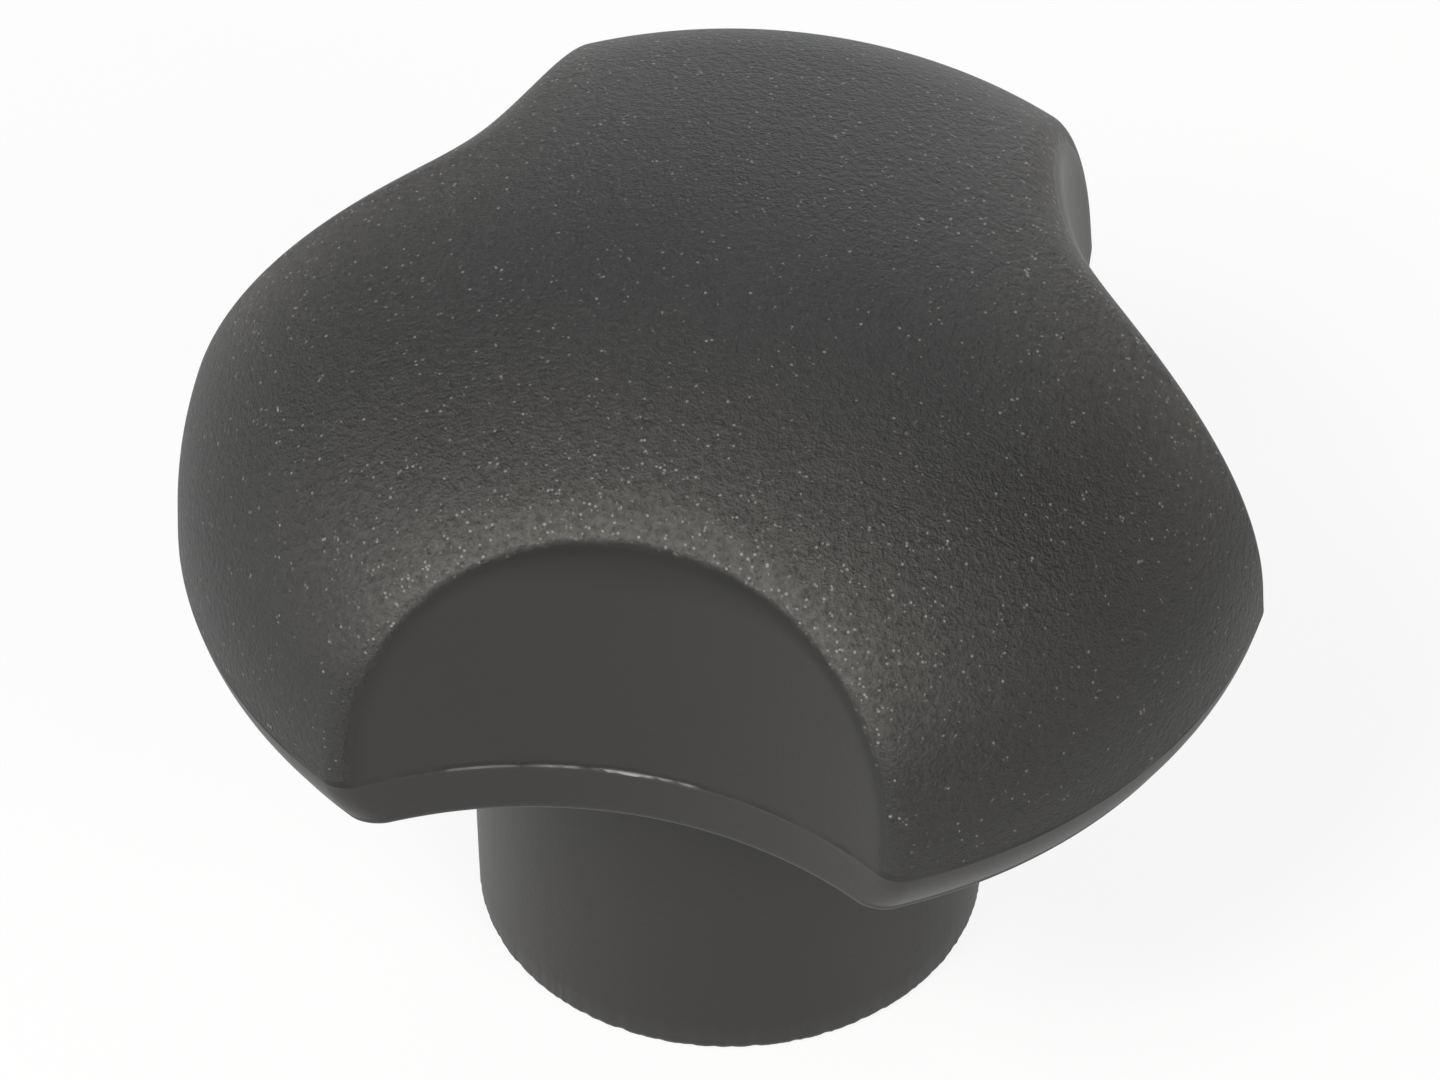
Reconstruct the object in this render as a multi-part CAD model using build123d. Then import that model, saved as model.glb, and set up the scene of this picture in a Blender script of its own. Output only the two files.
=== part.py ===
from build123d import *
import math
import os

# Three-lobed star knob, moulded in one piece round a threaded metal insert.
# Lengths are in millimetres and angles in degrees.
# The origin is the centre of the hub's foot and +Z runs up the knob's axis to its crown.
# One of the scallops between the lobes faces -Y.

# ---- cap outline, at the height where the mould parts ----
CAP_RADIUS = 16.0          # axis to the outermost line of a lobe
LOBE_COUNT = 3
SCALLOP_RADIUS = 13.45     # radius of the hollow between two lobes
WAIST_RADIUS = 11.15       # axis to the deepest line of a scallop

# ---- cap above the parting line ----
CROWN_HEIGHT = 10.65       # parting line up to the top of the crown
CROWN_RADIUS = 30.2        # large arc over the middle of the crown
SIDE_HEIGHT = 0.8          # straight side of a lobe, below its shoulder arc
SIDE_DRAFT = 1.7           # lean of that straight side
SCALLOP_DRAFT = 3.4        # lean of the scallop wall
EDGE_RADIUS = 0.8          # rounding along the edges of a scallop

# ---- cap below the parting line ----
BAND_HEIGHT = 1.9          # parting line down to the flat underside
BAND_INSET = 0.95          # how far a lobe curves in on the way down to the underside
BAND_DRAFT = 1.7           # lean of the scallop wall, which turns inward again here
RIM_RADIUS = 0.25          # rounding of the underside's outer edge

# ---- hub ----
FOOT_RADIUS = 7.5
FOOT_TO_PARTING = 14.9     # hub's foot up to the parting line
HUB_DRAFT = 1.0            # the hub widens by this angle on the way up
ROOT_RADIUS = 0.5          # fillet where the hub meets the underside
FOOT_BEVEL = 0.25          # narrow bevel round the foot

# ---- threaded insert ----
THREAD_MINOR_RADIUS = 2.5  # wall of the hole of an M6 thread
MOUTH_BEVEL = 0.6          # width of the countersink round the hole's mouth
INSERT_RADIUS = 4.6        # axis to the tips of the knurl
INSERT_LENGTH = 13.0
INSERT_END = 1.0           # metal left above the point of the blind hole
DRILL_POINT_ANGLE = 118.0
COLLAR_LENGTH = 1.2        # plain ring at the foot
KNURL_BAND = 3.8           # length of each of the two knurled bands
KNURL_GAP = 2.4            # smooth waist between them, which the plastic locks into
KNURL_TEETH = 24
KNURL_DEPTH = 0.45


def cap_profile():
    """Half section of the round cap before its scallops are cut, with the parting line at Z 0."""
    lean = math.radians(SIDE_DRAFT)
    side_top = Vector(CAP_RADIUS - SIDE_HEIGHT * math.tan(lean), SIDE_HEIGHT)
    inward = Vector(-math.cos(lean), -math.sin(lean))
    # The shoulder arc leaves the side without a corner and runs into the crown arc the same way.
    crown_centre = Vector(0, CROWN_HEIGHT - CROWN_RADIUS)
    reach = side_top - crown_centre
    shoulder_radius = (CROWN_RADIUS**2 - reach.dot(reach)) / (2 * (CROWN_RADIUS + inward.dot(reach)))
    shoulder_centre = side_top + inward * shoulder_radius
    crown_half_angle = math.asin(shoulder_centre.X / (CROWN_RADIUS - shoulder_radius))
    shoulder_angle = 90 - SIDE_DRAFT - math.degrees(crown_half_angle)

    side = Line((CAP_RADIUS, 0), side_top)
    shoulder = JernArc(side_top, side % 1, shoulder_radius, shoulder_angle)
    crown = RadiusArc(shoulder @ 1, (0, CROWN_HEIGHT), -CROWN_RADIUS)
    axis_line = Line((0, CROWN_HEIGHT), (0, -BAND_HEIGHT))
    underside = Line((0, -BAND_HEIGHT), (CAP_RADIUS - BAND_INSET, -BAND_HEIGHT))
    band = TangentArc((CAP_RADIUS, 0), (CAP_RADIUS - BAND_INSET, -BAND_HEIGHT), tangent=(0, -1))
    return make_face([side, shoulder, crown, axis_line, underside, band])


def scallop_cutter():
    """Round tool that cuts one scallop: narrowest at the parting line, so both mould halves release."""
    above = CROWN_HEIGHT + SCALLOP_RADIUS
    below = BAND_HEIGHT + SCALLOP_RADIUS
    section = Polyline(
        (0, -below),
        (SCALLOP_RADIUS + below * math.tan(math.radians(BAND_DRAFT)), -below),
        (SCALLOP_RADIUS, 0),
        (SCALLOP_RADIUS + above * math.tan(math.radians(SCALLOP_DRAFT)), above),
        (0, above),
        close=True,
    )
    return revolve(Plane.XZ * make_face(section), Axis.Z)


def scalloped_cap():
    """The cap with its lobes, its origin still at the parting line."""
    blank = revolve(Plane.XZ * cap_profile(), Axis.Z)
    cutter = scallop_cutter()
    cutters = [
        Rot(0, 0, -90 + 360 / LOBE_COUNT * turn) * Pos(WAIST_RADIUS + SCALLOP_RADIUS, 0, 0) * cutter
        for turn in range(LOBE_COUNT)
    ]
    cap = blank - cutters
    cut_edges = new_edges(blank, *cutters, combined=cap)
    rising = [edge for edge in cut_edges if edge.bounding_box().size.Z > BAND_HEIGHT / 2]
    cap = fillet(rising, EDGE_RADIUS)
    underside = cap.faces().sort_by(Axis.Z)[0]
    return fillet(underside.outer_wire().edges(), RIM_RADIUS)


def insert_blank():
    """Outside of the threaded insert: a round core with two knurled bands and a smooth waist between."""
    core_radius = INSERT_RADIUS - KNURL_DEPTH
    half_pitch = math.pi * core_radius / KNURL_TEETH
    # Each tooth is a ridge that starts inside the core, so that it fuses with it.
    tooth = Polygon(
        (core_radius - KNURL_DEPTH, -half_pitch),
        (core_radius, -half_pitch),
        (INSERT_RADIUS, 0),
        (core_radius, half_pitch),
        (core_radius - KNURL_DEPTH, half_pitch),
        align=None,
    )
    toothed_ring = Circle(core_radius) + PolarLocations(0, KNURL_TEETH) * tooth
    band = extrude(toothed_ring, KNURL_BAND)
    upper_band_start = COLLAR_LENGTH + KNURL_BAND + KNURL_GAP
    core = extrude(Circle(core_radius), INSERT_LENGTH)
    return core + Pos(0, 0, COLLAR_LENGTH) * band + Pos(0, 0, upper_band_start) * band


def thread_hole():
    """Blind hole with a countersunk mouth and the cone that a drill leaves at its end."""
    point_height = THREAD_MINOR_RADIUS / math.tan(math.radians(DRILL_POINT_ANGLE / 2))
    point = INSERT_LENGTH - INSERT_END
    section = Polyline(
        (0, 0),
        (THREAD_MINOR_RADIUS + MOUTH_BEVEL, 0),
        (THREAD_MINOR_RADIUS, MOUTH_BEVEL),
        (THREAD_MINOR_RADIUS, point - point_height),
        (0, point),
        close=True,
    )
    return revolve(Plane.XZ * make_face(section), Axis.Z)


def knob_body(insert_shape):
    """Cap and hub as one moulding, with the seat that the plastic forms round the insert."""
    # The hub is carried on up to the parting line, inside the cap, so that the two fuse.
    top_radius = FOOT_RADIUS + FOOT_TO_PARTING * math.tan(math.radians(HUB_DRAFT))
    hub = Cone(FOOT_RADIUS, top_radius, FOOT_TO_PARTING, align=(Align.CENTER, Align.CENTER, Align.MIN))
    hub = chamfer(hub.edges().sort_by(Axis.Z)[0], FOOT_BEVEL)
    cap = Pos(0, 0, FOOT_TO_PARTING) * scalloped_cap()
    body = fillet(new_edges(cap, hub, combined=cap + hub), ROOT_RADIUS)
    return body - insert_shape


os.makedirs("parts", exist_ok=True)
insert_outside = insert_blank()
export_step(knob_body(insert_outside), "parts/knob_body.step")
export_step(insert_outside - thread_hole(), "parts/threaded_insert.step")
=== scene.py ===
# %% [markdown]
# # A three-lobed star knob
#
# The real thing is one moulding of dark grey thermoplastic: a domed cap with three lobes on a short
# round hub, with a threaded metal insert in the foot of the hub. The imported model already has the
# sizes, so this lesson only rebuilds the two pieces finely enough to show what a mould leaves
# behind: edges that soften along each scallop, a thin line of flash, and a spark-eroded grain.

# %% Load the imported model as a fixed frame
import bpy
import math
import numpy as np
from mathutils import Matrix, Vector


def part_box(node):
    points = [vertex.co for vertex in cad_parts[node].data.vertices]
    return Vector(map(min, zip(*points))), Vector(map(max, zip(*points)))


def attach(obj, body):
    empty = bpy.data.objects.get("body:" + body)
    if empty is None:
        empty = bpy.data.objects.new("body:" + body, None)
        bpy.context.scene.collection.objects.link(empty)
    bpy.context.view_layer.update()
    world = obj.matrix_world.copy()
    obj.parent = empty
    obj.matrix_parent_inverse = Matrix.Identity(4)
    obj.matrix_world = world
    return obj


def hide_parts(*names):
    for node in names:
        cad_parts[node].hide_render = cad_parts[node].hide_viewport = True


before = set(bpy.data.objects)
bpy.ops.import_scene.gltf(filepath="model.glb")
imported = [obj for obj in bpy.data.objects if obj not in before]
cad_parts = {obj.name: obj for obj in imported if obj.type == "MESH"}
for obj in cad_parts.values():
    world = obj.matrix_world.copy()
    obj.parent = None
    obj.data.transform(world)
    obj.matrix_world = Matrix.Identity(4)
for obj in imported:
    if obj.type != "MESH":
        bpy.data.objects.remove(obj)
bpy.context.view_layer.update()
_, crown_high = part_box("knob_body")
print("frame nodes:", sorted(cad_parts), "height", round(crown_high.z * 1000, 2), "mm")

# %% [markdown]
# ## The sizes
#
# Millimetres are easier to read than metres for a knob that fits in a hand, so the shapes are
# worked out in millimetres and turned into metres when a mesh is made. The height of the crown and
# the reach of a lobe come from the frame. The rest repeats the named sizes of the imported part.

# %% Sizes of the knob
MM = 0.001
LOBES = 3
CAP_RADIUS = crown_high.y / MM
TOP_HEIGHT = crown_high.z / MM
PARTING_HEIGHT = 14.9      # foot of the hub up to the line where the mould parts
CROWN_HEIGHT = TOP_HEIGHT - PARTING_HEIGHT
CROWN_RADIUS = 30.2
SIDE_HEIGHT, SIDE_LEAN = 0.8, math.radians(1.7)
SCALLOP_RADIUS, WAIST_RADIUS = 13.45, 11.15
SCALLOP_LEAN, BAND_LEAN = math.tan(math.radians(3.4)), math.tan(math.radians(1.7))
BAND_HEIGHT, BAND_INSET, RIM_ROUNDING = 1.9, 0.95, 0.25
FOOT_RADIUS, HUB_LEAN, ROOT_ROUNDING, FOOT_BEVEL = 7.5, math.tan(math.radians(1.0)), 0.5, 0.25
COLLAR_RADIUS, COLLAR_LENGTH = 4.15, 1.2
INSERT_RADIUS, INSERT_LENGTH = 4.6, 13.0
SEAT_END = INSERT_LENGTH + 0.1                 # the plastic's hole ends just past the insert
FLASH_HEIGHT = 0.075
CORNER_ROUNDING, RIDGE_ROUNDING = 0.55, 1.25   # scallop edge beside a lobe, and what the dome adds
print("cap", round(2 * CAP_RADIUS, 2), "mm across")
print("crown", round(CROWN_HEIGHT, 2), "mm above the parting line")

# %% [markdown]
# ## The cap as a rule instead of a drawing
#
# A mould maker would mill the dome and the three scallops and then blend the edge between them by
# hand. The edge could be made with a Bevel modifier, but its width changes along the way: tight
# beside the lobes and wide over the middle of each scallop. So the cap is written as a rule that
# says how far a point lies outside the surface, and the two rules for dome and scallop are joined
# with a rounded maximum whose rounding changes with the angle.

# %% Rules for the cap
def rounded_maximum(a, b, rounding):
    """The larger of two distances; where both are above minus the rounding, the root of the sum of
    the squares of (distance + rounding), less the rounding, which is a round fillet."""
    u, v = np.maximum(a + rounding, 0), np.maximum(b + rounding, 0)
    return np.where((u > 0) & (v > 0), np.sqrt(u * u + v * v) - rounding, np.maximum(a, b))


def scallop_turn(x, y):
    """Angle of each point from the middle of the nearest scallop. One scallop faces -Y."""
    angle = np.arctan2(y, x) + math.pi / 2
    third = 2 * math.pi / LOBES
    return angle - third * np.round(angle / third)


def dome_distance(reach, z):
    """Distance outside the turned cap: a leaning straight side, a shoulder arc that touches it, and
    a large crown arc centred on the axis that touches the shoulder arc."""
    side = np.array([CAP_RADIUS - SIDE_HEIGHT * math.tan(SIDE_LEAN), SIDE_HEIGHT])
    out = np.array([math.cos(SIDE_LEAN), math.sin(SIDE_LEAN)])
    crown = np.array([0.0, CROWN_HEIGHT - CROWN_RADIUS])
    gap = side - crown
    shoulder = (CROWN_RADIUS**2 - gap @ gap) / (2 * (CROWN_RADIUS - out @ gap))
    centre = side - out * shoulder
    toward = (centre - crown) / (CROWN_RADIUS - shoulder)
    x, y = reach - centre[0], z - centre[1]
    below = -x * out[1] + y * out[0] < 0
    above = -x * toward[1] + y * toward[0] > 0
    straight = (reach - CAP_RADIUS) * out[0] + z * out[1]
    return np.where(above & ~below, np.hypot(reach, z - crown[1]) - CROWN_RADIUS,
                    np.where(below, straight, np.hypot(x, y) - shoulder))


def scallop_distance(x, y, lean):
    """Distance into the nearest scallop: its radius less the distance from its upright axis."""
    turn, reach = scallop_turn(x, y), np.hypot(x, y)
    across, along = reach * np.sin(turn), reach * np.cos(turn)
    return SCALLOP_RADIUS + lean - np.hypot(along - WAIST_RADIUS - SCALLOP_RADIUS, across)


def edge_rounding(x, y):
    """Rounding of the scallop's edge: tight beside a lobe, wide over the middle of the scallop."""
    near = np.clip(1 - np.abs(scallop_turn(x, y)) / math.radians(32), 0, 1)
    return CORNER_ROUNDING + RIDGE_ROUNDING * near * near * (3 - 2 * near)


def upper_distance(x, y, z):
    """Above the parting line: the dome and the scallops, which lean outward as they rise."""
    return rounded_maximum(dome_distance(np.hypot(x, y), z), scallop_distance(x, y, SCALLOP_LEAN * z),
                           edge_rounding(x, y))


def lower_distance(x, y, depth):
    """Below the parting line: a band that curves in on the way down, and scallops that lean in."""
    part = depth / BAND_HEIGHT
    inset = BAND_INSET * (0.3 * part + 0.7 * part * part)
    return rounded_maximum(np.hypot(x, y) - CAP_RADIUS + inset, scallop_distance(x, y, BAND_LEAN * depth),
                           CORNER_ROUNDING)


def bisect(distance, low, high, steps=30):
    """Halves the span between inside and outside until it holds the surface, for all points at once."""
    low, high = np.array(low, float), np.array(high, float)
    for _ in range(steps):
        middle = (low + high) / 2
        inside = distance(middle) < 0
        low, high = np.where(inside, middle, low), np.where(inside, high, middle)
    return (low + high) / 2


print("dome at the axis:", round(float(dome_distance(np.array(0.0), np.array(CROWN_HEIGHT))), 6))

# %% [markdown]
# ## Columns round the axis and rows down the profile
#
# Every column is one profile of the knob, from the crown out over the edge, down the side, under
# the cap, down the hub and back up inside round the insert. Columns stand closer together beside
# the lobes, where the scallop's edge runs almost upright, and rows gather where the profile bends.

# %% Columns and upper rows
COLUMNS = 480
UPPER_ROWS = 112
third = 2 * math.pi / LOBES
share = np.arange(COLUMNS // LOBES) / (COLUMNS // LOBES)
dense = np.linspace(0, 1, 2001)
CROWDED_AT, CROWDED_WIDTH, CROWDING = 29, 5.0, 2.2   # degrees from the scallop's middle, and how much more
crowd = 1 + CROWDING * np.exp(-(((np.abs(dense - 0.5) * 120) - CROWDED_AT) / CROWDED_WIDTH) ** 2)
total = np.concatenate([[0], np.cumsum((crowd[1:] + crowd[:-1]) / 2)])
spread = np.interp(share, total / total[-1], dense)
azimuth = np.concatenate([(spread - 0.5 + k) * third for k in range(LOBES)]) - math.pi / 2
ca, sa = np.cos(azimuth), np.sin(azimuth)

RAYS = 900
tilt = np.linspace(math.pi / 2, 0, RAYS)[:, None]
length = bisect(lambda m: upper_distance(m * np.cos(tilt) * ca, m * np.cos(tilt) * sa, m * np.sin(tilt)),
                np.full((RAYS, COLUMNS), 1.0), np.full((RAYS, COLUMNS), 30.0))
ray_reach, ray_z = length * np.cos(tilt), length * np.sin(tilt)


def spread_rows(reach, z, rows, bend_weight):
    """Picks rows along each profile so that equal steps hold equal amounts of length plus bend.
    All columns are looked up in one pass, by giving each its own whole-number offset."""
    dr, dz = np.diff(reach, axis=0), np.diff(z, axis=0)
    step = np.hypot(dr, dz)
    heading = np.unwrap(np.arctan2(dz, dr), axis=0)
    bend = np.abs(np.diff(heading, axis=0, prepend=heading[:1]))
    bend = (bend + np.roll(bend, 3, 0) + np.roll(bend, -3, 0)) / 3
    amount = np.concatenate([np.zeros((1, reach.shape[1])), np.cumsum(step + bend_weight * bend, 0)])
    amount = amount / amount[-1] * 0.999999
    column = np.arange(reach.shape[1])
    known = (amount + column).T.ravel()
    wanted = (np.linspace(0, 1, rows)[:, None] * 0.999999 + column).T.ravel()
    picked_reach = np.interp(wanted, known, reach.T.ravel()).reshape(-1, rows).T
    picked_z = np.interp(wanted, known, z.T.ravel()).reshape(-1, rows).T
    return picked_reach, picked_z


upper_reach, upper_z = spread_rows(ray_reach, ray_z, UPPER_ROWS, 3.0)
print("upper surface:", upper_reach.shape, "widest", round(float(upper_reach.max()), 3), "mm")

# %% [markdown]
# ## The flash
#
# Where the two mould halves meet, a little plastic creeps out and leaves a thin, broken line. It
# is real relief, less than a tenth of a millimetre high, so it is made as rows of the mesh. Its
# height comes from a sum of sine waves round the knob, cut off below zero so that the line breaks.

# %% Rows of the flash and the band
def waves(angle, counts, phases):
    """Sum of sine waves round the knob, scaled to about minus one to one."""
    return sum(np.sin(n * angle + p) for n, p in zip(counts, phases)) / len(counts) ** 0.5


broken = 0.55 + 0.6 * waves(azimuth, (3, 7, 16, 37), (2.3, 0.6, 1.1, 4.0)) + 0.25 * waves(
    azimuth, (83, 131, 190), (0.4, 2.0, 5.1))
# It stands up in the scallops and is all but gone on the lobes, where a hand rubs it away.
hollow = np.clip(1.25 - np.abs(scallop_turn(ca, sa)) / math.radians(27), 0.0, 1.0)
lip = (0.10 + 0.90 * hollow) * np.clip(broken, 0.10, 1.15) * FLASH_HEIGHT
lip_z = np.array([-0.005, -0.035, -0.06, -0.085, -0.12])
lip_out = np.array([0.55, 1.0, 0.9, 0.35, 0.0])


def band_reach(depth):
    """Reach of the surface below the parting line at a depth, for every column."""
    return bisect(lambda m: lower_distance(m * ca, m * sa, depth), np.full(COLUMNS, 1.0),
                  np.full(COLUMNS, 30.0))


flash_rows = [band_reach(max(-z, 0)) + lip * out for z, out in zip(lip_z, lip_out)]
band_depths = np.concatenate([np.linspace(0.22, BAND_HEIGHT - RIM_ROUNDING - 0.1, 7),
                              [BAND_HEIGHT - RIM_ROUNDING]])
band_rows = [band_reach(depth) for depth in band_depths]
rim_reach = band_rows[-1]
rim_turns = np.radians([15, 30, 45, 60, 75, 90])
rim_rows = [rim_reach - RIM_ROUNDING * (1 - math.cos(t)) for t in rim_turns]
rim_z = [-BAND_HEIGHT + RIM_ROUNDING * (1 - math.sin(t)) for t in rim_turns]
print("flash stands", round(float(lip.min()), 3), "to", round(float(lip.max()), 3), "mm proud")

# %% [markdown]
# ## Underside, hub and the seat round the insert
#
# Below the rim the profile is the same in every column: a flat underside, a small fillet where the
# hub begins, the hub with its draft, a narrow bevel at the foot, and then inward and up round the
# insert. The foot's edge is a little ragged, as trimmed plastic is.

# %% Turned rows
hub_top = -BAND_HEIGHT
hub_reach = lambda z: FOOT_RADIUS + (z + PARTING_HEIGHT) * HUB_LEAN
root = hub_reach(hub_top - ROOT_ROUNDING) + ROOT_ROUNDING
under_share = np.linspace(0, 1, 12)[1:]
under_rows = [rim_rows[-1] * (1 - s) + root * s for s in under_share]
root_turns = np.radians([18, 36, 54, 72, 90])
turned = [(root - ROOT_ROUNDING * math.sin(t), hub_top - ROOT_ROUNDING * (1 - math.cos(t)))
          for t in root_turns]
hub_levels = np.linspace(hub_top - ROOT_ROUNDING, FOOT_BEVEL - PARTING_HEIGHT, 16)[1:]
turned += [(hub_reach(z), z) for z in hub_levels]
turned += [(FOOT_RADIUS - FOOT_BEVEL * (1 - math.cos(t)), FOOT_BEVEL * (1 - math.sin(t)) - PARTING_HEIGHT)
           for t in np.radians([22, 45, 68, 90])]
turned += [(r, -PARTING_HEIGHT)
           for r in np.linspace(FOOT_RADIUS - FOOT_BEVEL, COLLAR_RADIUS + 0.12, 8)[1:]]
collar_seat, insert_seat = COLLAR_RADIUS + 0.03, INSERT_RADIUS + 0.05
turned += [(collar_seat, 0.09 - PARTING_HEIGHT), (collar_seat, COLLAR_LENGTH - PARTING_HEIGHT),
           (insert_seat, COLLAR_LENGTH + 0.05 - PARTING_HEIGHT),
           (insert_seat, SEAT_END - PARTING_HEIGHT), (1.5, SEAT_END - PARTING_HEIGHT)]
ragged = 0.03 * waves(azimuth, (17, 29, 53, 97), (0.2, 3.1, 1.7, 5.0))

level = lambda z: np.full(COLUMNS, float(z))
reach_rows = list(upper_reach[1:]) + flash_rows + band_rows + rim_rows + under_rows
z_rows = list(upper_z[1:]) + [level(z) for z in lip_z] + [level(-d) for d in band_depths]
z_rows += [level(z) for z in rim_z] + [level(hub_top)] * len(under_rows)
for r, z in turned:
    near_foot = math.exp(-((z + PARTING_HEIGHT) / 0.3) ** 2) if r > FOOT_RADIUS - 0.5 else 0.0
    reach_rows.append(level(r) - np.abs(ragged) * near_foot)
    z_rows.append(level(z))
body_reach, body_z = np.array(reach_rows), np.array(z_rows) + PARTING_HEIGHT
print("body rows:", body_reach.shape[0], "columns:", COLUMNS)

# %% [markdown]
# ## From rows and columns to a closed mesh
#
# A grid that goes once round the axis needs no seam: the last column joins the first. At both ends
# a single point closes the skin with a fan of triangles, so that the piece is watertight.

# %% Mesh helper
def turned_mesh(name, reach, z, angles, top_z, end_z):
    """Closed mesh from reach and height per row and column: quads between neighbouring rows and
    columns, and a fan at each end. Rows run from the top point to the end point."""
    rows, columns = reach.shape
    points = np.stack([reach * np.cos(angles), reach * np.sin(angles), z], -1).reshape(-1, 3)
    points = np.concatenate([points, [[0, 0, top_z], [0, 0, end_z]]]) * MM
    index = np.arange(rows * columns).reshape(rows, columns)
    ahead = np.roll(index, -1, axis=1)
    quads = np.stack([index[:-1], index[1:], ahead[1:], ahead[:-1]], -1).reshape(-1, 4)
    top = np.stack([np.full(columns, rows * columns), index[0], ahead[0]], -1)
    end = np.stack([np.full(columns, rows * columns + 1), ahead[-1], index[-1]], -1)
    mesh = bpy.data.meshes.new(name)
    mesh.from_pydata(points.tolist(), [], quads.tolist() + top.tolist() + end.tolist())
    mesh.update()
    mesh.shade_smooth()
    piece = bpy.data.objects.new(name, mesh)
    bpy.context.scene.collection.objects.link(piece)
    print(name, "has", 2 * len(quads) + 2 * columns, "triangles")
    return piece


def add_attribute(piece, name, values):
    """One number for every point of a piece, which a material can read by name."""
    piece.data.attributes.new(name, "FLOAT", "POINT").data.foreach_set("value", values.astype(np.float32))


body = turned_mesh("knob_moulding", body_reach, body_z, azimuth, TOP_HEIGHT, SEAT_END)

# %% [markdown]
# ## Where the grain is
#
# Only the mould half that shapes the dome and the lobes is spark-eroded. The scallop walls, the
# band under the parting line and the hub are smooth. The mesh carries this as a number per point:
# above one half where the dome's rule wins over the scallop's, and below it on the walls. Two more
# numbers mark the edge high above a scallop, where the grain gets a painted highlight, and the
# flash, whose lip gets a painted highlight too.

# %% Grain and ridge attributes
px, py, pz = body_reach * ca, body_reach * sa, body_z - PARTING_HEIGHT
lead = dome_distance(body_reach, pz) - scallop_distance(px, py, SCALLOP_LEAN * np.maximum(pz, 0))
grain = np.clip(0.5 + (lead + 0.25) / 1.6, 0, 1) * (pz > 0.02)
# Mask for the painted highlight on the edge high above a scallop: paler grain tops and more glinting specks.
ridge_highlight = np.exp(-np.maximum(lead, 0) / 2.6) * (lead > -0.3) * np.clip((pz - 3.5) / 3.0, 0, 1)
ends = np.zeros(2)
add_attribute(body, "grain", np.concatenate([grain.ravel(), [1, 0]]))
add_attribute(body, "ridge_highlight", np.concatenate([ridge_highlight.ravel(), ends]))
on_lip = np.zeros_like(grain)
lip_share = np.array([0.7, 1, 1, 0.6])[:, None]
on_lip[UPPER_ROWS - 1:UPPER_ROWS + 3] = np.clip(lip / FLASH_HEIGHT - 0.25, 0, 1) * lip_share
add_attribute(body, "flash", np.concatenate([on_lip.ravel(), ends]))
print("grain covers", round(float((grain > 0.5).mean()), 2), "of the rows and columns")

# %% [markdown]
# ## The threaded insert
#
# The insert is turned from brass bar: a plain collar at the foot, two knurled bands that grip the
# plastic, a smooth waist between them and a blind hole with a thread. A thread is one rule too:
# the reach of the wall depends on height and angle together, and one turn climbs one pitch.

# %% Insert rules and mesh
PITCH, THREAD_DEPTH, THREAD_MINOR, MOUTH_BEVEL = 1.0, 0.55, 2.5, 0.6
KNURL_BAND, KNURL_GAP, KNURL_TEETH, KNURL_DEPTH = 3.8, 2.4, 24, 0.45
SIDE_POINTS = KNURL_TEETH * 6
insert_angle = np.arange(SIDE_POINTS) * 2 * math.pi / SIDE_POINTS


def knurl_reach(angle, z):
    """Core radius plus a triangular tooth wave in the two knurled bands."""
    wave = 1 - np.abs((angle * KNURL_TEETH / (2 * math.pi)) % 1 * 2 - 1)
    upper = COLLAR_LENGTH + KNURL_BAND + KNURL_GAP
    lower_band = (z > COLLAR_LENGTH) & (z < COLLAR_LENGTH + KNURL_BAND)
    upper_band = (z > upper) & (z < upper + KNURL_BAND)
    return INSERT_RADIUS - KNURL_DEPTH + KNURL_DEPTH * wave * (lower_band | upper_band)


def thread_reach(angle, z):
    """Minor radius on the flat crests, plus a ramped groove that climbs one pitch in a turn. The
    groove fades in at the mouth and out before the end of the hole."""
    phase = (z / PITCH - angle / (2 * math.pi)) % 1
    groove = np.clip(1.35 - np.abs(phase * 2 - 1) * 2.1, 0, 1)
    fade = np.clip((z - 0.35) / 0.5, 0, 1) * np.clip((9.6 - z) / 0.8, 0, 1)
    return THREAD_MINOR + THREAD_DEPTH * groove * fade


outer_z = np.concatenate([[12.95], np.arange(12.9, 0.1, -0.1), [0.08]])
outer = np.array([knurl_reach(insert_angle, z) for z in outer_z])
mouth = THREAD_MINOR + MOUTH_BEVEL
bore_z = np.arange(0.62, 10.4, PITCH / 12)
bore = np.array([thread_reach(insert_angle, z) for z in bore_z])
ring = lambda r: np.full(SIDE_POINTS, float(r))
insert_reach = np.concatenate([
    [ring(1.5), ring(3.0), ring(INSERT_RADIUS - KNURL_DEPTH - 0.05)], outer,
    [ring(COLLAR_RADIUS - 0.08), ring(3.7), ring(mouth + 0.06), ring(mouth), ring(mouth - 0.3)],
    bore, [ring(THREAD_MINOR), ring(1.2)]])
insert_z = np.concatenate([[INSERT_LENGTH] * 3, outer_z, [0.0, 0.0, 0.0, 0.03, 0.33], bore_z, [10.5, 11.28]])
insert = turned_mesh("threaded_insert_detail", insert_reach, np.repeat(insert_z[:, None], SIDE_POINTS, 1),
                     insert_angle, INSERT_LENGTH, 12.0)

# %% [markdown]
# ## Shader maths in plain Python
#
# Long chains of nodes are hard to read. A small class wraps one output that holds a number, so an
# expression such as `1 - mask * 0.5` adds its own Math nodes. Another class adds any other node.

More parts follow.
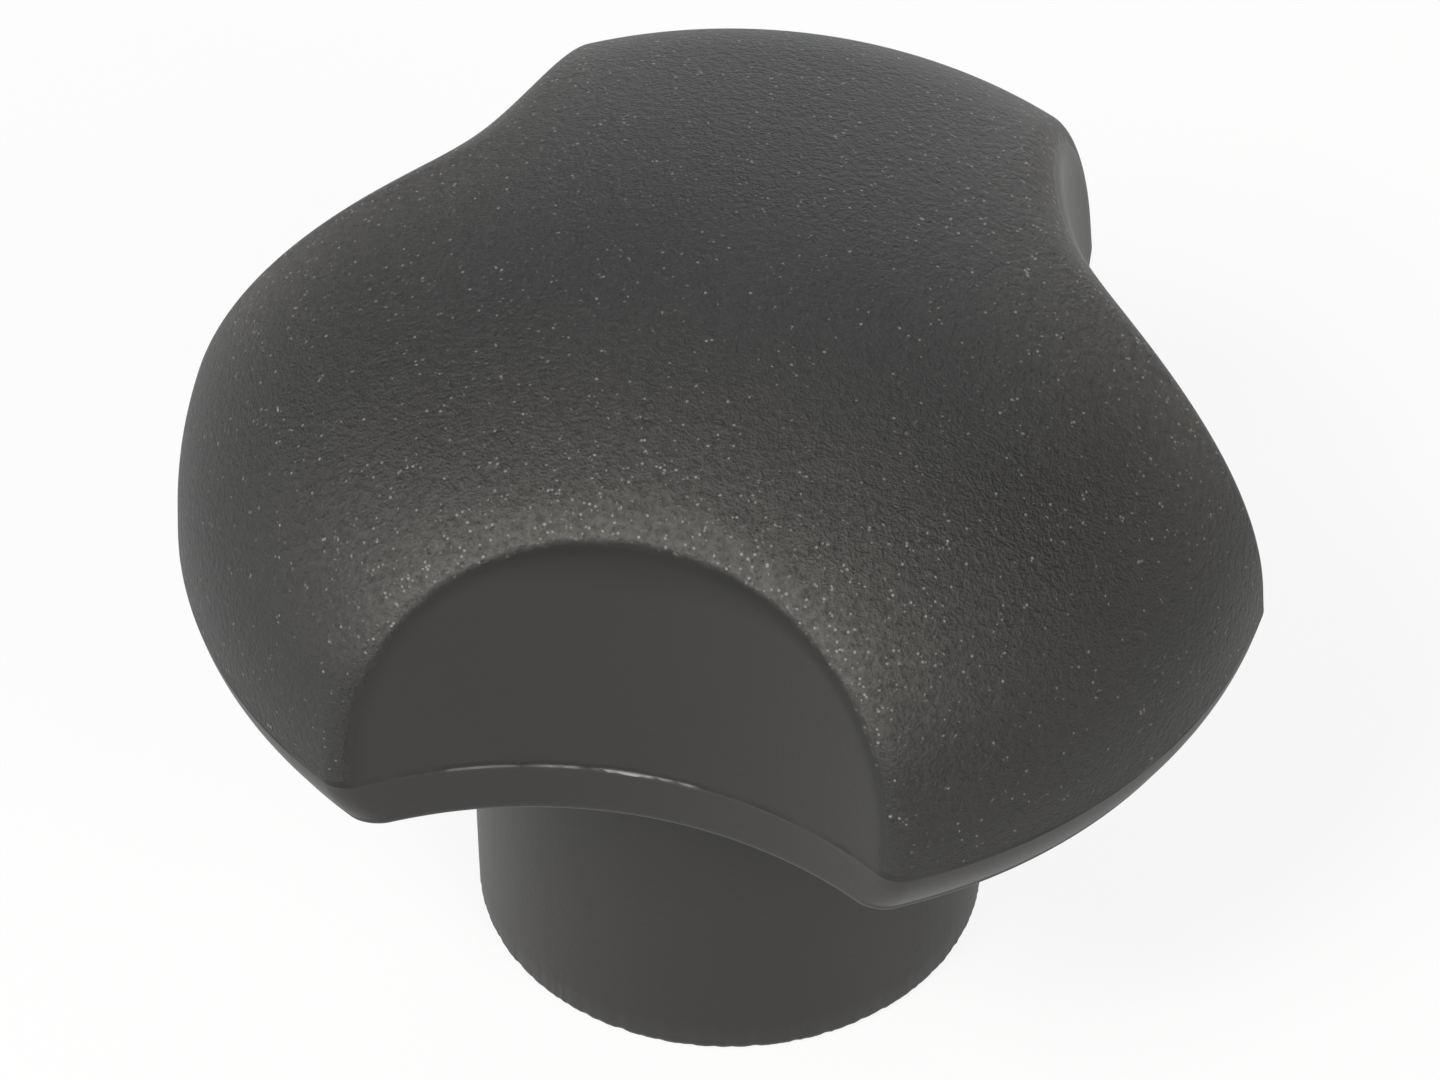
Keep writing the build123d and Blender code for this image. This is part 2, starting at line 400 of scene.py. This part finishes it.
# %% Shader helpers
class Number:
    """One number a point, as a node's output. Plus, minus and times add Math nodes."""

    def __init__(self, finish, socket):
        self.finish, self.socket = finish, socket

    def math(self, operation, first, second=None, clamp=False):
        return self.finish.number("ShaderNodeMath", 0, {"operation": operation, "use_clamp": clamp},
                                  {0: first} if second is None else {0: first, 1: second})

    def absolute(self): return self.math("ABSOLUTE", self)
    def sine(self): return self.math("SINE", self)

    def __add__(self, other): return self.math("ADD", self, other)
    def __radd__(self, other): return self.math("ADD", other, self)
    def __sub__(self, other): return self.math("SUBTRACT", self, other)
    def __rsub__(self, other): return self.math("SUBTRACT", other, self)
    def __mul__(self, other): return self.math("MULTIPLY", self, other)
    def clamped(self): return self.math("MULTIPLY", self, 1.0, clamp=True)


class Finish:
    """A material whose nodes are added one call at a time."""

    def __init__(self, name):
        self.material = bpy.data.materials.new(name)
        self.material.use_nodes = True
        self.tree = self.material.node_tree
        self.tree.nodes.clear()

    def node(self, kind, settings, inputs):
        """Adds a node, sets its settings first, then its sockets from numbers, colours or links."""
        made = self.tree.nodes.new(kind)
        for name, value in settings.items():
            setattr(made, name, value)
        for name, value in inputs.items():
            if isinstance(value, Number):
                value = value.socket
            if isinstance(value, bpy.types.NodeSocket):
                self.tree.links.new(value, made.inputs[name])
            else:
                made.inputs[name].default_value = value
        return made

    def number(self, kind, output, settings, inputs):
        return Number(self, self.node(kind, settings, inputs).outputs[output])

    def colour(self, factor, first, second):
        """Colour between two colours, by a number from 0 to 1."""
        return self.node("ShaderNodeMix", {"data_type": "RGBA"}, {0: factor, 6: first, 7: second}).outputs[2]

    def attribute(self, name):
        return self.number("ShaderNodeAttribute", "Fac", {"attribute_name": name}, {})


print("shader helpers ready")

# %% [markdown]
# ## Moulded plastic
#
# Dark grey filled plastic is not one flat grey. The eroded side has a fine grain with tiny bright
# and dark specks where the grain's facets catch or lose the light, most of them along the edge
# above each scallop. The smooth side has the same colour with a softer sheen. Grain and specks
# are noise on Object coordinates, so they stay put on the piece.

# %% Plastic
def plastic_finish():
    finish = Finish("moulded_plastic")
    place = finish.node("ShaderNodeTexCoord", {}, {}).outputs["Object"]
    noise = lambda size, detail, rough=0.5: finish.number(
        "ShaderNodeTexNoise", "Fac", {},
        {"Vector": place, "Scale": 1 / size, "Detail": detail, "Roughness": rough})
    specks = lambda size: finish.number("ShaderNodeTexVoronoi", "Distance", {"feature": "F1"},
                                        {"Vector": place, "Scale": 1 / size, "Randomness": 1.0})
    # The border between grain and smooth is crisp but ragged.
    border = noise(0.0005, 3.0) - 0.5
    eroded = finish.attribute("grain")
    grained = ((eroded + border * 0.16 - 0.5) * 9.0 + 0.5).clamped()
    ridge_highlight, flash = finish.attribute("ridge_highlight"), finish.attribute("flash")

    grain = noise(0.00022, 4.0, 0.65)
    cloud = noise(0.006, 3.0)
    # A speck shows where its own cell's point is near and a slower noise lets it through.
    # Along the edge above a scallop more bright specks are let through, as painted glints.
    allow = ((noise(0.00026, 1.0) - 0.61 + ridge_highlight * 0.15) * 12.0).clamped()
    bright = ((0.33 - specks(0.00017)) * 7.0).clamped() * allow * grained
    sparse = ((noise(0.0005, 2.0) - 0.54) * 12.0).clamped()
    dark = ((0.30 - specks(0.00019)) * 7.0).clamped() * sparse * grained

    tone = (grain - 0.5) * 1.5 * grained + (cloud - 0.5) * 0.5 + 0.5
    base = finish.colour(tone.clamped(), (0.009, 0.0089, 0.0091, 1), (0.027, 0.0266, 0.0260, 1))
    # Painted highlight: along the edge above a scallop the tops of the grain are paler, where the shoulder
    # catches the front lamp.
    base = finish.colour((ridge_highlight * (grain * 1.9 - 0.40)).clamped(), base, (0.105, 0.100, 0.091, 1))
    smooth = finish.colour(cloud, (0.0125, 0.0121, 0.0114, 1), (0.0165, 0.0160, 0.0150, 1))
    # Painted shade: just below the scallop's upper edge the wall is a shade darker.
    wall_shade_strip = (1 - (eroded - 0.36).absolute() * 5.0).clamped()
    smooth = finish.colour(wall_shade_strip * 0.7, smooth, (0.007, 0.0069, 0.0068, 1))
    colour = finish.colour(grained, smooth, base)
    colour = finish.colour(dark * 0.7, colour, (0.006, 0.006, 0.006, 1))
    colour = finish.colour((bright * 0.62).clamped(), colour, (0.30, 0.295, 0.28, 1))
    # Painted highlight: the flash's thin lip is painted pale grey along its edge.
    colour = finish.colour(flash.clamped(), colour, (0.34, 0.325, 0.30, 1))
    roughness = 0.44 + grained * 0.06 + (grain - 0.5) * 0.22 * grained - bright * 0.12
    height = (grain * 0.8 + noise(0.00009, 2.0) * 0.35) * (grained * 0.9 + 0.06)
    bump = finish.node("ShaderNodeBump", {}, {"Height": height, "Strength": 1.0, "Distance": 0.00018})
    shader = finish.node("ShaderNodeBsdfPrincipled", {}, {
        "Base Color": colour, "Roughness": roughness, "Normal": bump.outputs["Normal"], "IOR": 1.48})
    finish.node("ShaderNodeOutputMaterial", {}, {"Surface": shader.outputs[0]})
    return finish.material


plastic = plastic_finish()
print("plastic nodes:", len(plastic.node_tree.nodes))

# %% [markdown]
# ## Brass
#
# The insert shows only its end face and its thread. Turning leaves rings, so the relief follows the
# distance from the axis; the colour dulls a little in patches, and the roughness changes with them.

# %% Brass
def brass_finish():
    finish = Finish("turned_brass")
    place = finish.node("ShaderNodeTexCoord", {}, {}).outputs["Object"]
    flat = finish.node("ShaderNodeVectorMath", {"operation": "MULTIPLY"}, {0: place, 1: (1, 1, 0)}).outputs[0]
    distance = finish.number("ShaderNodeVectorMath", "Value", {"operation": "LENGTH"}, {0: flat})
    rings = (distance * 52000.0).sine() * 0.5 + 0.5
    patches = finish.number("ShaderNodeTexNoise", "Fac", {}, {"Vector": place, "Scale": 900.0, "Detail": 4.0})
    colour = finish.colour(patches, (0.66, 0.47, 0.20, 1), (0.78, 0.58, 0.29, 1))
    bump = finish.node("ShaderNodeBump", {}, {"Height": rings + patches * 0.5, "Strength": 0.25,
                                              "Distance": 0.00002})
    shader = finish.node("ShaderNodeBsdfPrincipled", {}, {
        "Base Color": colour, "Metallic": 1.0, "Roughness": patches * 0.2 + 0.22,
        "Normal": bump.outputs["Normal"]})
    finish.node("ShaderNodeOutputMaterial", {}, {"Surface": shader.outputs[0]})
    return finish.material


brass = brass_finish()
print("brass nodes:", len(brass.node_tree.nodes))

# %% [markdown]
# ## Fixing the pieces to the frame
#
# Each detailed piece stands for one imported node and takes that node's finish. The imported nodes
# stay in the file for collision, and get the same finishes.

# %% Pieces on the frame
for piece, node, slot, finish in ((body, "knob_body", "moulded_plastic", plastic),
                                  (insert, "threaded_insert", "insert_metal", brass)):
    piece.data.materials.append(finish)
    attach(piece, "root")
    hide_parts(node)
    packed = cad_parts[node]
    packed.data.materials.clear()
    packed.data.materials.append(finish)
    print(piece.name, "stands for", node)

# %% [markdown]
# ## Floor, light and camera
#
# A small dark product is usually shown on white: a pale floor, an even surround and soft lamps.
# The surround is white for the camera only, and much dimmer for light and reflections, so that
# the plastic stays dark. The lamp at the front left lights the shoulder above the front scallop.

# %% Floor
FLOOR = 0.6        # half its width, in metres
SHOWN_WHITE = 0.88     # share of white in what the camera sees, the rest being lit paper
MIRRORED_WHITE = 0.5   # and that share's part in reflections
floor_mesh = bpy.data.meshes.new("floor")
floor_mesh.from_pydata([(-FLOOR, -FLOOR, 0), (FLOOR, -FLOOR, 0), (FLOOR, FLOOR, 0), (-FLOOR, FLOOR, 0)],
                       [], [(0, 1, 2, 3)])
floor = bpy.data.objects.new("floor", floor_mesh)
bpy.context.scene.collection.objects.link(floor)


def floor_finish():
    """Pale matt paper that shows nearly white, and keeps a faint part of the knob's shadow."""
    finish = Finish("pale_floor")
    path = finish.node("ShaderNodeLightPath", {}, {})
    paper = finish.node("ShaderNodeBsdfDiffuse", {}, {"Color": (0.82, 0.82, 0.82, 1)})
    white = finish.node("ShaderNodeEmission", {}, {"Color": (1, 1, 1, 1), "Strength": 1.0})
    mirrored = Number(finish, path.outputs["Is Glossy Ray"]) * MIRRORED_WHITE
    seen = Number(finish, path.outputs["Is Camera Ray"]) + mirrored
    both = finish.node("ShaderNodeMixShader", {},
                       {0: seen * SHOWN_WHITE, 1: paper.outputs[0], 2: white.outputs[0]})
    finish.node("ShaderNodeOutputMaterial", {}, {"Surface": both.outputs[0]})
    return finish.material


floor.data.materials.append(floor_finish())
print("floor", 2 * FLOOR, "m square")

# %% Light
SURROUND_LIGHT, SURROUND_SHOWN = 0.26, 1.0
world = bpy.data.worlds.new("surround")
bpy.context.scene.world = world
world.use_nodes = True
tree = world.node_tree
tree.nodes.clear()
path = tree.nodes.new("ShaderNodeLightPath")
lit, shown = tree.nodes.new("ShaderNodeBackground"), tree.nodes.new("ShaderNodeBackground")
lit.inputs["Color"].default_value, lit.inputs["Strength"].default_value = (0.97, 0.985, 1, 1), SURROUND_LIGHT
shown.inputs["Color"].default_value, shown.inputs["Strength"].default_value = (1, 1, 1, 1), SURROUND_SHOWN
mix, out = tree.nodes.new("ShaderNodeMixShader"), tree.nodes.new("ShaderNodeOutputWorld")
tree.links.new(path.outputs["Is Camera Ray"], mix.inputs[0])
tree.links.new(lit.outputs[0], mix.inputs[1])
tree.links.new(shown.outputs[0], mix.inputs[2])
tree.links.new(mix.outputs[0], out.inputs[0])


def soft_lamp(name, place, aim, size, watts, colour):
    """Square area lamp that faces a point."""
    lamp = bpy.data.lights.new(name, "AREA")
    lamp.size, lamp.energy, lamp.color = size, watts, colour
    holder = bpy.data.objects.new(name, lamp)
    holder.location = place
    holder.rotation_mode = "QUATERNION"
    holder.rotation_quaternion = (Vector(aim) - Vector(place)).to_track_quat("-Z", "Y")
    bpy.context.scene.collection.objects.link(holder)
    return holder


middle = Vector((0, 0, PARTING_HEIGHT * MM))
soft_lamp("back_softbox", (-0.02, 0.42, 0.09), middle, 0.20, 0.42, (0.93, 0.96, 1.0))
soft_lamp("left_softbox", (-0.34, -0.10, 0.16), middle, 0.26, 0.36, (0.97, 0.98, 1.0))
soft_lamp("right_softbox", (0.26, -0.22, 0.26), middle, 0.16, 0.60, (1.0, 0.95, 0.88))
soft_lamp("front_softbox", (-0.104, -0.257, 0.355), middle, 0.14, 1.6, (1.0, 0.98, 0.95))

# %% [markdown]
# ## Camera
#
# A long lens from a little to the right of the front scallop, looking down by about 44 degrees.
# The distance is given in cap radii, so the framing follows the knob's size.

# %% Camera
CAMERA_TURN, CAMERA_RISE, CAMERA_ROLL = math.radians(13.817), math.radians(43.8), math.radians(-0.334)
CAMERA_RADII, LENS = 20.946, 288.26
SHIFT_LEFT, SHIFT_DOWN = 0.01564, 0.05512      # of a cap radius
back = Vector((math.sin(CAMERA_TURN) * math.cos(CAMERA_RISE), -math.cos(CAMERA_TURN) * math.cos(CAMERA_RISE),
               math.sin(CAMERA_RISE)))
right = Vector((math.cos(CAMERA_TURN), math.sin(CAMERA_TURN), 0))
up = back.cross(right)
reach = CAP_RADIUS * MM
camera_data = bpy.data.cameras.new("camera")
camera_data.sensor_width, camera_data.lens = 36, LENS
camera_data.clip_start, camera_data.clip_end = 0.01, 20
camera = bpy.data.objects.new("camera", camera_data)
camera.location = (middle + back * (CAMERA_RADII * reach) - right * (SHIFT_LEFT * reach)
                   - up * (SHIFT_DOWN * reach))
rolled_right = right * math.cos(CAMERA_ROLL) + up * math.sin(CAMERA_ROLL)
rolled_up = up * math.cos(CAMERA_ROLL) - right * math.sin(CAMERA_ROLL)
camera.rotation_mode = "QUATERNION"
camera.rotation_quaternion = Matrix((rolled_right, rolled_up, back)).transposed().to_quaternion()
bpy.context.scene.collection.objects.link(camera)
bpy.context.scene.camera = camera
bpy.context.scene.view_settings.view_transform = "Standard"
print("camera", [round(v, 4) for v in camera.location], "lens", LENS)
